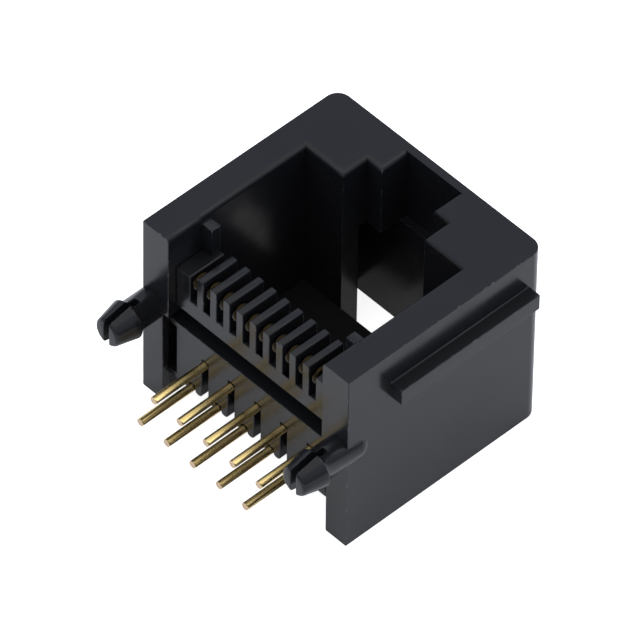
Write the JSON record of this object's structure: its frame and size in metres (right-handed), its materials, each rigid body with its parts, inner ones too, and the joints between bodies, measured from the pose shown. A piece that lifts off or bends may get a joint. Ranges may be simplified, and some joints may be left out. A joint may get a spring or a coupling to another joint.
{
  "type": "modular jack",
  "caption": "Board-mounted modular jack: a black moulded socket with a stepped plug mouth, split board pegs, a slotted contact carrier and bent gold-plated wire contacts.",
  "frame": {"origin": "centre of the housing's rear face, on the face that the jack stands on", "axes": "+Z out of the plug mouth, -Y towards the circuit board, +Y to the latch side, +X to the side wall that carries the rib"},
  "size_m": [0.0172, 0.0177, 0.013],
  "materials": {
    "housing_plastic": "black glass-filled polyester moulding, semi-gloss",
    "carrier_plastic": "black glass-filled polyester moulding, semi-gloss",
    "gold_wire": "gold-plated phosphor bronze wire, bright"
  },
  "bodies": {
    "root": {"housing": "housing_plastic", "contact_carrier": "carrier_plastic", "contact_01": "gold_wire", "contact_02": "gold_wire", "contact_03": "gold_wire", "contact_04": "gold_wire", "contact_05": "gold_wire", "contact_06": "gold_wire", "contact_07": "gold_wire", "contact_08": "gold_wire", "contact_09": "gold_wire", "contact_10": "gold_wire"}
  },
  "joints": []
}
